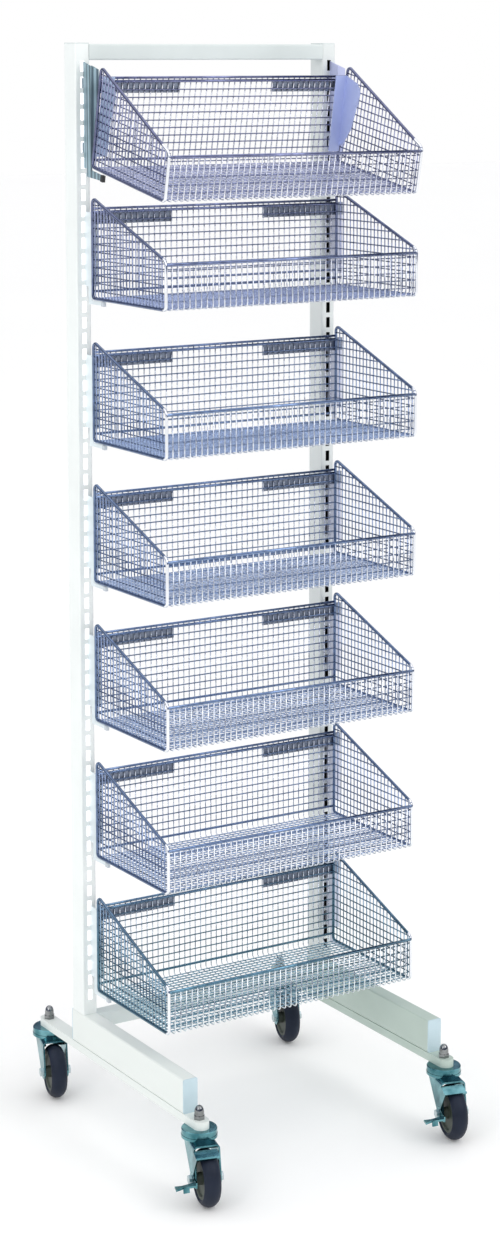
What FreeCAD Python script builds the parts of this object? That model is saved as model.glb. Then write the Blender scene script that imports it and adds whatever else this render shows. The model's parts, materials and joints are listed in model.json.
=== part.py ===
import FreeCAD, Part
import math
import os

Vector = FreeCAD.Vector

# Millimetres. While it is built, X = 0 is midway between the uprights, Y = 0 is the
# uprights' front face with the baskets on the -Y side, and Z = 0 is the floor.

# Heights above the floor
CASTER_HEIGHT = 110.0
FOOT_BAR_BOTTOM = CASTER_HEIGHT
FOOT_BAR_TOP = FOOT_BAR_BOTTOM + 13.0
BEAM_TOP = FOOT_BAR_TOP + 55.0
UPRIGHT_TOP = BEAM_TOP + 1592.0

# Uprights
UPRIGHT_X = 234.0
UPRIGHT_WIDTH = 25.4
UPRIGHT_DEPTH = 38.1
TUBE_WALL = 1.6
TUBE_CORNER = 2.5
CAP_THICKNESS = 2.0

# Slots in the uprights' front walls
SLOT_PITCH = 25.4
SLOT_COUNT = 61
SLOT_WIDTH = 7.5
SLOT_HEIGHT = 17.6
FIRST_SLOT_TOP = UPRIGHT_TOP - 26.0

# Crossbars
CROSSBAR_SIZE = 25.4
TOP_CROSSBAR_TOP = UPRIGHT_TOP
LOWER_CROSSBAR_TOP = BEAM_TOP - 3.0

# Feet
FOOT_BAR_WIDTH = 25.4
FOOT_BAR_FRONT = -368.0
FOOT_BAR_REAR = 165.0
BEAM_FRONT = -322.0
PLUG_THICKNESS = 2.0
PLUG_DEPTH = 12.0
STEM_FRONT = -350.0
STEM_REAR = 147.0

# Casters
WHEEL_RADIUS = 44.5
WHEEL_WIDTH = 27.0
RIM_RADIUS = 32.0
TYRE_SHOULDER = 8.5
HUB_BOSS = 9.0
HUB_WEB_INSET = 5.0
CASTER_TRAIL = 40.0
CASTER_ANGLE = -15.0
STEM_RADIUS = 6.0
STEM_TOP = FOOT_BAR_TOP + 15.0
HEAD_RADIUS = 28.0
HEAD_BOTTOM = CASTER_HEIGHT - 9.0
SWIVEL_GAP = 0.4
CROWN_RADIUS = 28.5
CROWN_BOTTOM = HEAD_BOTTOM - 7.0
KINGPIN_HEAD_RADIUS = 10.0
KINGPIN_HEAD_HEIGHT = 3.0
FORK_INNER = 18.5
FORK_OUTER = 21.0
FORK_CORNER = 6.0
FORK_FRONT = -42.0
FORK_REAR = 20.0
FORK_BOSS = 12.0
AXLE_RADIUS = 4.0
BOLT_HEAD_RADIUS = 7.5
BOLT_HEAD_HEIGHT = 5.0
RUNNING_CLEARANCE = 0.1
WHEEL_ROOM = 4.0
BRAKE_GAP = 0.5
BRAKE_GRIP = 3.2
BRAKE_EYE = 11.0
SHOE_CLEARANCE = 1.5
SHOE_START = 57.0
SHOE_END = 82.0
SHOE_REACH = 14.5
BRAKE_FRONT = -CASTER_TRAIL - 24.0
PEDAL_LENGTH = 32.0
PEDAL_THICKNESS = 3.0
PEDAL_SLOPE = -4.0

# Acorn nuts
NUT_ACROSS_FLATS = 16.0
NUT_HEX_HEIGHT = 6.0
NUT_DOME_START = 12.0
NUT_HEIGHT = 22.0

# Baskets
BASKET_WIDTH = 470.0
BASKET_DEPTH = 235.0
PEAK_HEIGHT = 165.0
FRONT_HEIGHT = 79.0
FRONT_RAIL_HEIGHT = 71.0
BACK_RAIL_HEIGHT = 145.0
BACK_RAIL_GAP = 5.5
LOWER_RAIL_HEIGHT = 14.0
HEAVY_WIRE = 5.0
RAIL_WIRE = 4.0
FINE_WIRE = 2.0
CELLS_WIDE = 45
CELLS_DEEP = 23
CELLS_FRONT = 6
CELLS_BACK = 12
BASKET_BACK = -24.0
SECOND_BASKET_BOTTOM = UPRIGHT_TOP - 403.0
SLOTS_PER_TIER = 9
BASKET_COUNT = 7
TILT_ANGLE = 11.0
TILTED_BACK = -26.5
TILTED_BOTTOM = UPRIGHT_TOP - 195.0

# Sheet-metal hangers
SHEET = 2.0
PLATE_SHEET = 1.5
HANGER_FRONT = -22.0
HANGER_WEB = 10.5
HANGER_TOP = 139.0
HANGER_WEB_BOTTOM = 21.0
HANGER_STRIP_DEPTH = 10.0
ARM_LENGTH = 33.0
ARM_HEIGHT = 6.0
TILTED_ARM_HEIGHT = 9.0
ARM_DROP = 1.0
TIP_LENGTH = 8.0
TONGUE_DROP = 5.0
HOOK_GAP = 0.4
HOOK_PLATE_LENGTH = 145.0
HOOK_PLATE_HEIGHT = 18.0
TILT_BRACKET_TOP = UPRIGHT_TOP - 28.0
TILT_BRACKET_FRONT = -24.0
TILT_BRACKET_WIDTH = 15.0
BRACKET_NEAR_SLOPE = 7.0
BRACKET_FAR_SLOPE = 12.0
BRACKET_FAR_FRONT_RISE = 30.0
BRACKET_FAR_REAR_RISE = 44.0
BRACKET_ARM_ROOT = 14.0
SLOT_PLATE_OFFSET = 1.5
HOOK_LIP = 9.0

# Corner wings of the tilted basket
WING_TOP = 147.0
WING_BOTTOM = 20.0
WING_WIDTH = 22.0
WING_DEPTH = 45.0
WING_GAP = 0.3

SIDES = (("left", -1), ("right", 1))
CASTERS = (
    ("front_left", -1, STEM_FRONT),
    ("front_right", 1, STEM_FRONT),
    ("rear_left", -1, STEM_REAR),
    ("rear_right", 1, STEM_REAR),
)

nodes = {}


# ---------------------------------------------------------------- helpers

def box(x0, x1, y0, y1, z0, z1):
    """Box between two corners."""
    return Part.makeBox(x1 - x0, y1 - y0, z1 - z0, Vector(x0, y0, z0))


def prism(points, direction):
    """Prism on a closed outline of straight edges."""
    outline = Part.makePolygon(points + [points[0]])
    return Part.Face(outline).extrude(direction)


def side_plate(outline, x0, x1):
    """Plate standing in the YZ plane between x0 and x1; its outline is (y, z) pairs."""
    points = [Vector(x0, y, z) for y, z in outline]
    return prism(points, Vector(x1 - x0, 0, 0))


def perforated(outline, holes, direction):
    """Flat plate with straight-edged holes, given as lists of points."""
    wires = [Part.makePolygon(points + [points[0]]) for points in [outline] + holes]
    return Part.makeFace(wires, "Part::FaceMakerBullseye").extrude(direction)


def rounded_tube(width, depth, height, wall, corner):
    """Upright rectangular tube centred on the Z axis, standing on Z = 0."""
    outer = rounded_block(width, depth, height, corner)
    inner = rounded_block(width - 2 * wall, depth - 2 * wall, height, max(corner - wall, 0.5))
    return outer.cut(inner)


def rounded_block(width, depth, height, corner):
    """Block centred on the Z axis with its four upright edges rounded."""
    block = box(-width / 2, width / 2, -depth / 2, depth / 2, 0, height)
    upright = [e for e in block.Edges if abs(e.Vertexes[0].Z - e.Vertexes[1].Z) > height / 2]
    return block.makeFillet(corner, upright)


def turned(shape, axis, angle, centre=Vector(0, 0, 0)):
    """Copy of a shape turned about an axis through a centre, in degrees."""
    copy = shape.copy()
    copy.rotate(centre, axis, angle)
    return copy


def moved(shape, x=0.0, y=0.0, z=0.0):
    """Copy of a shape moved by an offset."""
    copy = shape.copy()
    copy.translate(Vector(x, y, z))
    return copy


def revolved(profile):
    """Solid of revolution about Z; the profile is (radius, height) pairs."""
    points = [Vector(r, 0, z) for r, z in profile]
    face = Part.Face(Part.makePolygon(points + [points[0]]))
    return face.revolve(Vector(0, 0, 0), Vector(0, 0, 1), 360)


def hexagon(radius, height):
    """Hexagonal prism standing on Z = 0, with a corner on the X axis."""
    angles = [math.radians(60 * i) for i in range(6)]
    corners = [Vector(radius * math.cos(a), radius * math.sin(a), 0) for a in angles]
    return prism(corners, Vector(0, 0, height))


def lying(shape, y, z):
    """A shape made about Z, laid along X with its middle at (0, y, z)."""
    return moved(turned(shape, Vector(0, 1, 0), 90), 0, y, z)


def round_bar(start, end, radius):
    """Straight round wire between two points."""
    return Part.makeCylinder(radius, (end - start).Length, start, end - start)


def corner_points(previous, corner, following, radius):
    """Start, middle and end of the arc that rounds one corner of a path."""
    back = (previous - corner).normalize()
    ahead = (following - corner).normalize()
    half = back.getAngle(ahead) / 2
    setback = radius / math.tan(half)
    inward = (back + ahead).normalize()
    middle = corner + inward * (radius / math.sin(half) - radius)
    return corner + back * setback, middle, corner + ahead * setback


def bent_loop(corners, radii, wire_radius):
    """Closed loop of round wire through corners, each with its bend radius."""
    count = len(corners)
    bends = [
        corner_points(corners[i - 1], corners[i], corners[(i + 1) % count], radii[i])
        for i in range(count)
    ]
    edges = []
    for i in range(count):
        start, middle, end = bends[i]
        edges.append(Part.Arc(start, middle, end).toShape())
        edges.append(Part.makeLine(end, bends[(i + 1) % count][0]))
    path = Part.Wire(edges)
    start = edges[0].Vertexes[0].Point
    section = Part.Wire(Part.makeCircle(wire_radius, start, edges[0].tangentAt(0)))
    return path.makePipeShell([section], True, True)


# ---------------------------------------------------------------- rack frame

def slot_top(index):
    """Height of the top of one slot, counted down from the first."""
    return FIRST_SLOT_TOP - index * SLOT_PITCH


def upright(side):
    """Slotted rectangular tube standing on the foot beam."""
    height = UPRIGHT_TOP - BEAM_TOP
    tube = rounded_tube(UPRIGHT_WIDTH, UPRIGHT_DEPTH, height, TUBE_WALL, TUBE_CORNER)
    tube = moved(tube, side * UPRIGHT_X, UPRIGHT_DEPTH / 2, BEAM_TOP)
    half = SLOT_WIDTH / 2
    middle = side * UPRIGHT_X
    slots = [
        box(middle - half, middle + half, -1, TUBE_WALL + 1, slot_top(i) - SLOT_HEIGHT, slot_top(i))
        for i in range(SLOT_COUNT)
    ]
    return tube.cut(Part.makeCompound(slots))


def crossbar(top):
    """Square tube between the uprights' inner faces, flush with their fronts."""
    length = 2 * UPRIGHT_X - UPRIGHT_WIDTH
    tube = rounded_tube(CROSSBAR_SIZE, CROSSBAR_SIZE, length, TUBE_WALL, TUBE_CORNER)
    return moved(lying(tube, 0, 0), -length / 2, CROSSBAR_SIZE / 2, top - CROSSBAR_SIZE / 2)


def upright_cap(side):
    """Thin cap on an upright with a plug that fits the tube."""
    lid = rounded_block(UPRIGHT_WIDTH, UPRIGHT_DEPTH, CAP_THICKNESS, TUBE_CORNER)
    inner_width = UPRIGHT_WIDTH - 2 * TUBE_WALL - 0.2
    inner_depth = UPRIGHT_DEPTH - 2 * TUBE_WALL - 0.2
    plug = moved(rounded_block(inner_width, inner_depth, PLUG_DEPTH, 1.0), z=-PLUG_DEPTH)
    return moved(lid.fuse(plug), side * UPRIGHT_X, UPRIGHT_DEPTH / 2, UPRIGHT_TOP)


def foot_beam(side):
    """Tall rectangular tube of the foot, under the upright."""
    height = BEAM_TOP - FOOT_BAR_TOP
    length = UPRIGHT_DEPTH - BEAM_FRONT
    tube = rounded_tube(UPRIGHT_WIDTH, height, length, TUBE_WALL, TUBE_CORNER)
    tube = turned(tube, Vector(1, 0, 0), 90)
    return moved(tube, side * UPRIGHT_X, UPRIGHT_DEPTH, FOOT_BAR_TOP + height / 2)


def beam_plug(side, end, outward):
    """Plug in one end of a foot beam; outward is -1 at the front and 1 at the rear."""
    height = BEAM_TOP - FOOT_BAR_TOP
    face = rounded_block(UPRIGHT_WIDTH, height, PLUG_THICKNESS, TUBE_CORNER)
    inner_width = UPRIGHT_WIDTH - 2 * TUBE_WALL - 0.2
    inner_height = height - 2 * TUBE_WALL - 0.2
    inner = moved(rounded_block(inner_width, inner_height, PLUG_DEPTH, 1.0), z=-PLUG_DEPTH)
    plug = turned(face.fuse(inner), Vector(1, 0, 0), -90 * outward)
    return moved(plug, side * UPRIGHT_X, end, FOOT_BAR_TOP + height / 2)


def foot_bar(side):
    """Flat bar with round ends that carries the casters' stems."""
    radius = FOOT_BAR_WIDTH / 2
    height = FOOT_BAR_TOP - FOOT_BAR_BOTTOM
    middle = side * UPRIGHT_X
    front = FOOT_BAR_FRONT + radius
    rear = FOOT_BAR_REAR - radius
    bar = box(middle - radius, middle + radius, front, rear, FOOT_BAR_BOTTOM, FOOT_BAR_TOP)
    for y in (front, rear):
        bar = bar.fuse(Part.makeCylinder(radius, height, Vector(middle, y, FOOT_BAR_BOTTOM)))
    for y in (STEM_FRONT, STEM_REAR):
        hole = Part.makeCylinder(STEM_RADIUS + 0.2, height, Vector(middle, y, FOOT_BAR_BOTTOM))
        bar = bar.cut(hole)
    return bar.removeSplitter()


def acorn_nut():
    """Cap nut standing on Z = 0: low hexagon, tall elliptical dome and a blind bore."""
    radius = NUT_ACROSS_FLATS / 2 - 0.5
    base = Vector(0, 0, NUT_DOME_START)
    crest = Vector(0, 0, NUT_HEIGHT)
    shoulder = Vector(radius, 0, NUT_DOME_START)
    foot = Vector(radius, 0, 0)
    dome = Part.ArcOfEllipse(Part.Ellipse(crest, shoulder, base), 0, math.pi / 2).toShape()
    edges = [
        dome,
        Part.makeLine(shoulder, foot),
        Part.makeLine(foot, Vector(0, 0, 0)),
        Part.makeLine(Vector(0, 0, 0), crest),
    ]
    body = Part.Face(Part.Wire(edges)).revolve(Vector(0, 0, 0), Vector(0, 0, 1), 360)
    bore = Part.makeCylinder(STEM_RADIUS + 0.05, STEM_TOP - FOOT_BAR_TOP + 0.5)
    return hexagon(NUT_ACROSS_FLATS / math.sqrt(3), NUT_HEX_HEIGHT).fuse(body).cut(bore)


def build_frame():
    for name, side in SIDES:
        nodes[name + "_upright"] = [upright(side)]
        nodes[name + "_foot_beam"] = [foot_beam(side)]
        nodes[name + "_foot_bar"] = [foot_bar(side)]
    nodes["top_crossbar"] = [crossbar(TOP_CROSSBAR_TOP)]
    nodes["lower_crossbar"] = [crossbar(LOWER_CROSSBAR_TOP)]
    nodes["upright_caps"] = [upright_cap(side) for _, side in SIDES]
    nodes["beam_end_plugs"] = [
        beam_plug(side, end, outward)
        for _, side in SIDES
        for end, outward in ((BEAM_FRONT, -1), (UPRIGHT_DEPTH, 1))
    ]
    nodes["acorn_nuts"] = [
        moved(acorn_nut(), side * UPRIGHT_X, stem, FOOT_BAR_TOP) for _, side, stem in CASTERS
    ]


# ---------------------------------------------------------------- casters
# A caster is made with its stem on the Z axis and its wheel trailing toward -Y.

def caster_head():
    """Fixed disc under the foot bar, with the stem above and the kingpin below."""
    kingpin_head_top = CROWN_BOTTOM - SWIVEL_GAP
    bottom = kingpin_head_top - KINGPIN_HEAD_HEIGHT
    return revolved([
        (0, STEM_TOP),
        (STEM_RADIUS, STEM_TOP),
        (STEM_RADIUS, FOOT_BAR_BOTTOM),
        (HEAD_RADIUS - 1, FOOT_BAR_BOTTOM),
        (HEAD_RADIUS, FOOT_BAR_BOTTOM - 1),
        (HEAD_RADIUS, HEAD_BOTTOM),
        (STEM_RADIUS, HEAD_BOTTOM),
        (STEM_RADIUS, kingpin_head_top),
        (KINGPIN_HEAD_RADIUS, kingpin_head_top),
        (KINGPIN_HEAD_RADIUS - 1, bottom),
        (0, bottom),
    ])


def fork_profile():
    """Side view of the fork: wide under the crown, round about the axle."""
    top = CROWN_BOTTOM + FORK_OUTER - FORK_INNER
    axle_centre = Vector(0, -CASTER_TRAIL, WHEEL_RADIUS)
    tangents = []
    for corner, turn in ((Vector(0, FORK_FRONT, top), 1), (Vector(0, FORK_REAR, top), -1)):
        reach = corner - axle_centre
        swing = turn * math.acos(FORK_BOSS / reach.Length)
        direction = math.atan2(reach.z, reach.y) + swing
        offset = Vector(0, math.cos(direction), math.sin(direction)) * FORK_BOSS
        tangents.append(axle_centre + offset)
    front, rear = tangents
    bottom = axle_centre + Vector(0, 0, -FORK_BOSS)
    edges = [
        Part.makeLine(Vector(0, FORK_REAR, top), Vector(0, FORK_FRONT, top)),
        Part.makeLine(Vector(0, FORK_FRONT, top), front),
        Part.Arc(front, bottom, rear).toShape(),
        Part.makeLine(rear, Vector(0, FORK_REAR, top)),
    ]
    return Part.Face(Part.Wire(edges))


def arch(half_width, top, corner):
    """Long block under a height, with its two upper edges rounded."""
    block = box(-half_width, half_width, -2 * CASTER_TRAIL, CASTER_TRAIL, 0, top)
    upper = [
        e for e in block.Edges
        if min(v.Z for v in e.Vertexes) > top / 2 and abs(e.Vertexes[0].Y - e.Vertexes[1].Y) > 1
    ]
    return block.makeFillet(corner, upper)


def fork():
    """Swivelling crown on a pressed channel, closed behind, whose sides hold the axle."""
    sheet = FORK_OUTER - FORK_INNER
    crown_top = HEAD_BOTTOM - SWIVEL_GAP
    bore = STEM_RADIUS + 0.3
    crown = revolved([
        (bore, crown_top),
        (CROWN_RADIUS, crown_top),
        (CROWN_RADIUS, CROWN_BOTTOM + 2),
        (CROWN_RADIUS - 2, CROWN_BOTTOM),
        (bore, CROWN_BOTTOM),
    ])
    side_view = moved(fork_profile().extrude(Vector(2 * FORK_OUTER, 0, 0)), -FORK_OUTER)
    outside = arch(FORK_OUTER, CROWN_BOTTOM + sheet, FORK_CORNER).common(side_view)
    inside = arch(FORK_INNER, CROWN_BOTTOM, FORK_CORNER - sheet).common(moved(side_view, y=-sheet))
    room = Part.makeCylinder(WHEEL_RADIUS + WHEEL_ROOM, 2 * FORK_INNER, Vector(0, 0, -FORK_INNER))
    room = lying(room, -CASTER_TRAIL, WHEEL_RADIUS)
    shape = outside.cut(inside).cut(room).fuse(crown)
    shape = shape.cut(Part.makeCylinder(bore, STEM_TOP))
    hole = Part.makeCylinder(AXLE_RADIUS + 0.05, 4 * FORK_OUTER, Vector(0, 0, -2 * FORK_OUTER))
    return shape.cut(lying(hole, -CASTER_TRAIL, WHEEL_RADIUS))


def axle(grip):
    """Axle bolt: head off the fork's -X side by the grip, nut against its +X side."""
    head = -FORK_OUTER - grip
    bolt = Part.makeCylinder(AXLE_RADIUS, FORK_OUTER - head, Vector(0, 0, head))
    for height in (FORK_OUTER, head - BOLT_HEAD_HEIGHT):
        bolt = bolt.fuse(moved(hexagon(BOLT_HEAD_RADIUS, BOLT_HEAD_HEIGHT), z=height))
    return lying(bolt, -CASTER_TRAIL, WHEEL_RADIUS)


def hub():
    """Wheel centre: rim, web and boss."""
    half = WHEEL_WIDTH / 2
    boss = FORK_INNER - 0.5
    bore = AXLE_RADIUS + RUNNING_CLEARANCE
    rim_inner = RIM_RADIUS - 4
    web = half - HUB_WEB_INSET
    side = [
        (bore, boss), (HUB_BOSS, boss), (HUB_BOSS + 1, web),
        (rim_inner - 2, web), (rim_inner, half - 2), (RIM_RADIUS, half - 2),
    ]
    wheel = revolved([(r, -z) for r, z in side] + side[::-1])
    return lying(wheel, -CASTER_TRAIL, WHEEL_RADIUS)


def tyre():
    """Tyre with a crowned tread."""
    half = WHEEL_WIDTH / 2
    wall = RIM_RADIUS + 3
    shoulder = WHEEL_RADIUS - TYRE_SHOULDER
    edges = [
        Part.makeLine(Vector(RIM_RADIUS, 0, -half + 2), Vector(wall, 0, -half)),
        Part.makeLine(Vector(wall, 0, -half), Vector(shoulder, 0, -half)),
        Part.Arc(
            Vector(shoulder, 0, -half), Vector(WHEEL_RADIUS, 0, 0), Vector(shoulder, 0, half)
        ).toShape(),
        Part.makeLine(Vector(shoulder, 0, half), Vector(wall, 0, half)),
        Part.makeLine(Vector(wall, 0, half), Vector(RIM_RADIUS, 0, half - 2)),
        Part.makeLine(Vector(RIM_RADIUS, 0, half - 2), Vector(RIM_RADIUS, 0, -half + 2)),
    ]
    face = Part.Face(Part.Wire(edges))
    ring = face.revolve(Vector(0, 0, 0), Vector(0, 0, 1), 360)
    return lying(ring, -CASTER_TRAIL, WHEEL_RADIUS)


def around_axle(radius, degrees):
    """Point about the axle at X = 0; 0 degrees is forward and 90 is up."""
    angle = math.radians(degrees)
    y = -CASTER_TRAIL - radius * math.cos(angle)
    z = WHEEL_RADIUS + radius * math.sin(angle)
    return Vector(0, y, z)


def sector(inner, outer, start, end, x0, x1):
    """Part of a ring about the axle, between two angles, from x0 to x1."""
    middle = (start + end) / 2
    edges = [
        Part.Arc(*(around_axle(outer, a) for a in (start, middle, end))).toShape(),
        Part.makeLine(around_axle(outer, end), around_axle(inner, end)),
        Part.Arc(*(around_axle(inner, a) for a in (end, middle, start))).toShape(),
        Part.makeLine(around_axle(inner, start), around_axle(outer, start)),
    ]
    return moved(Part.Face(Part.Wire(edges)).extrude(Vector(x1 - x0, 0, 0)), x0)


def pedal(x):
    """Foot pedal that reaches toward -X: broad root, narrow neck and a flared tip."""
    front = BRAKE_FRONT
    back = -CASTER_TRAIL - BRAKE_EYE + 1
    neck = 0.65 * PEDAL_LENGTH
    outline = [
        (0, front), (0, back), (-0.4 * PEDAL_LENGTH, back - 3), (-neck, back - 4),
        (-PEDAL_LENGTH, back - 2), (-PEDAL_LENGTH - 1, front - 1), (-neck, front + 3),
    ]
    points = [Vector(x + along, y, WHEEL_RADIUS) for along, y in outline]
    plate = prism(points, Vector(0, 0, -PEDAL_THICKNESS))
    flap = box(x - neck, x - neck + 10, front + 2, front + 4.5, WHEEL_RADIUS - 10, WHEEL_RADIUS - 1)
    return turned(plate.fuse(flap), Vector(0, 1, 0), PEDAL_SLOPE, Vector(x, 0, WHEEL_RADIUS))


def brake_lever():
    """Brake that turns on the axle: side arm, shoe over the tread, and pedal."""
    inner = -FORK_OUTER - BRAKE_GAP
    outer = inner - SHEET
    rim = WHEEL_RADIUS + SHOE_CLEARANCE
    eye = moved(lying(Part.makeCylinder(BRAKE_EYE, SHEET), -CASTER_TRAIL, WHEEL_RADIUS), outer)
    arm = sector(BRAKE_EYE - 2, rim + SHEET, SHOE_START, SHOE_END, outer, inner)
    shoe = sector(rim, rim + SHEET, SHOE_START, SHOE_END, outer, SHOE_REACH)
    lip = sector(rim, rim + 2 * SHEET, SHOE_START, SHOE_START + 3, outer, SHOE_REACH)
    lug = side_plate(
        [
            (BRAKE_FRONT, WHEEL_RADIUS - 5), (BRAKE_FRONT, WHEEL_RADIUS + 4),
            (-CASTER_TRAIL, WHEEL_RADIUS + BRAKE_EYE - 1),
            (-CASTER_TRAIL, WHEEL_RADIUS - BRAKE_EYE + 1),
        ],
        outer,
        inner,
    )
    shape = eye.fuse([arm, shoe, lip, lug, pedal(outer + 1)])
    hole = Part.makeCylinder(AXLE_RADIUS + 0.1, 4 * FORK_OUTER, Vector(0, 0, -2 * FORK_OUTER))
    return shape.cut(lying(hole, -CASTER_TRAIL, WHEEL_RADIUS))


def build_casters():
    for name, side, stem in CASTERS:
        braked = name.startswith("front")
        pieces = {"caster_head": caster_head(), "fork": fork(), "hub": hub(), "tyre": tyre(),
                  "axle": axle(BRAKE_GRIP if braked else 0)}
        if braked:
            pieces["brake_lever"] = brake_lever()
        for piece, shape in pieces.items():
            shape = turned(shape, Vector(0, 0, 1), CASTER_ANGLE)
            nodes[name + "_" + piece] = [moved(shape, side * UPRIGHT_X, stem)]


# ---------------------------------------------------------------- baskets
# A basket is made level, centred on X = 0, with its back in the plane Y = 0 and its
# floor wires on Z = 0. Its front is toward -Y.

LOOP_X = (BASKET_WIDTH - HEAVY_WIRE) / 2
LOOP_BACK = -HEAVY_WIRE / 2
LOOP_FRONT = -BASKET_DEPTH + HEAVY_WIRE / 2
LOOP_BOTTOM = HEAVY_WIRE / 2
LOOP_PEAK = PEAK_HEIGHT - HEAVY_WIRE / 2
LOOP_FRONT_TOP = FRONT_HEIGHT - HEAVY_WIRE / 2
HALF_WIRE = FINE_WIRE / 2


def spaced(start, end, cells):
    """Evenly spaced positions, both ends included."""
    return [start + (end - start) * i / cells for i in range(cells + 1)]


def slope_height(y):
    """Height of the side loop's sloping top edge."""
    share = (LOOP_BACK - y) / (LOOP_BACK - LOOP_FRONT)
    return LOOP_PEAK + share * (LOOP_FRONT_TOP - LOOP_PEAK)


def slope_front(z):
    """Forward end of a side panel at one height."""
    if z <= LOOP_FRONT_TOP:
        return LOOP_FRONT
    share = (LOOP_PEAK - z) / (LOOP_PEAK - LOOP_FRONT_TOP)
    return LOOP_BACK + share * (LOOP_FRONT - LOOP_BACK)


def parallel_wires(corner, along, across, length, width, cells, direction):
    """Layer of parallel wires, joined at their ends, in a rectangle."""
    def at(a, b):
        return corner + along * a + across * b

    outline = [at(0, 0), at(length, 0), at(length, width), at(0, width)]
    holes = []
    lines = spaced(0, width, cells)
    for near, far in zip(lines, lines[1:]):
        low = near + HALF_WIRE
        high = far - HALF_WIRE
        holes.append([
            at(HALF_WIRE, low), at(length - HALF_WIRE, low),
            at(length - HALF_WIRE, high), at(HALF_WIRE, high),
        ])
    return perforated(outline, holes, direction)


def side_outline(x):
    """Corners of a side panel."""
    return [
        Vector(x, LOOP_BACK, LOOP_BOTTOM), Vector(x, LOOP_BACK, LOOP_PEAK),
        Vector(x, LOOP_FRONT, LOOP_FRONT_TOP), Vector(x, LOOP_FRONT, LOOP_BOTTOM),
    ]


def side_uprights(x, direction):
    """Upright fine wires of a side panel."""
    holes = []
    lines = spaced(LOOP_FRONT, LOOP_BACK, CELLS_DEEP)
    for front, back in zip(lines, lines[1:]):
        low = LOOP_BOTTOM + HALF_WIRE
        front += HALF_WIRE
        back -= HALF_WIRE
        holes.append([
            Vector(x, front, low), Vector(x, back, low),
            Vector(x, back, slope_height(back) - HALF_WIRE),
            Vector(x, front, slope_height(front) - HALF_WIRE),
        ])
    return perforated(side_outline(x), holes, direction)


def side_levels(x, direction):
    """Level fine wires of a side panel, cut off along the slope."""
    holes = []
    rise = (LOOP_FRONT_TOP - LOOP_BOTTOM) / CELLS_FRONT
    back = LOOP_BACK - HALF_WIRE
    for level in range(CELLS_BACK):
        low = LOOP_BOTTOM + level * rise + HALF_WIRE
        high = LOOP_BOTTOM + (level + 1) * rise - HALF_WIRE
        inset = HALF_WIRE if high <= LOOP_FRONT_TOP else 2 * FINE_WIRE
        holes.append([
            Vector(x, back, low), Vector(x, back, high),
            Vector(x, slope_front(high) + inset, high), Vector(x, slope_front(low) + inset, low),
        ])
    return perforated(side_outline(x), holes, direction)


def basket_mesh():
    """Front, floor, back and two sides, each of two layers of fine wire."""
    x_axis = Vector(1, 0, 0)
    y_axis = Vector(0, 1, 0)
    z_axis = Vector(0, 0, 1)
    width = 2 * LOOP_X
    depth = LOOP_BACK - LOOP_FRONT
    front_rise = FRONT_RAIL_HEIGHT - LOOP_BOTTOM
    back_rise = BACK_RAIL_HEIGHT - LOOP_BOTTOM
    front_corner = Vector(-LOOP_X, LOOP_FRONT, LOOP_BOTTOM)
    back_corner = Vector(-LOOP_X, LOOP_BACK, LOOP_BOTTOM)
    toward_back = y_axis * FINE_WIRE
    up = z_axis * FINE_WIRE
    outward = x_axis * FINE_WIRE
    panels = [
        parallel_wires(front_corner, z_axis, x_axis, front_rise, width, CELLS_WIDE, -toward_back),
        parallel_wires(front_corner, x_axis, z_axis, width, front_rise, CELLS_FRONT, toward_back),
        parallel_wires(front_corner, y_axis, x_axis, depth, width, CELLS_WIDE, -up),
        parallel_wires(front_corner, x_axis, y_axis, width, depth, CELLS_DEEP, up),
        parallel_wires(back_corner, z_axis, x_axis, back_rise, width, CELLS_WIDE, toward_back),
        parallel_wires(back_corner, x_axis, z_axis, width, back_rise, CELLS_BACK, -toward_back),
    ]
    for side in (-1, 1):
        panels.append(side_uprights(side * LOOP_X, outward * side))
        panels.append(side_levels(side * LOOP_X, outward * -side))
    return panels


def side_loop(side):
    """Closed loop of heavy wire around one side panel."""
    return bent_loop(side_outline(side * LOOP_X), [6.0, 7.0, 12.0, 7.0], HEAVY_WIRE / 2)


def cross_rail(y, z, diameter):
    """Straight rail between the two side loops."""
    reach = LOOP_X - HEAVY_WIRE / 2
    return round_bar(Vector(-reach, y, z), Vector(reach, y, z), diameter / 2)


def basket_frame():
    """Heavy wires: side loops, front rail, double back rail and lower back rail."""
    return [
        side_loop(-1),
        side_loop(1),
        cross_rail(LOOP_FRONT, FRONT_RAIL_HEIGHT, HEAVY_WIRE),
        cross_rail(LOOP_BACK, BACK_RAIL_HEIGHT, RAIL_WIRE),
        cross_rail(LOOP_BACK, BACK_RAIL_HEIGHT - BACK_RAIL_GAP, RAIL_WIRE),
        cross_rail(LOOP_BACK, LOWER_RAIL_HEIGHT, RAIL_WIRE),
    ]


def slot_plate_x(side):
    """X of the -X face of the sheet that stands in an upright's slots."""
    return side * UPRIGHT_X + SLOT_PLATE_OFFSET


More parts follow.
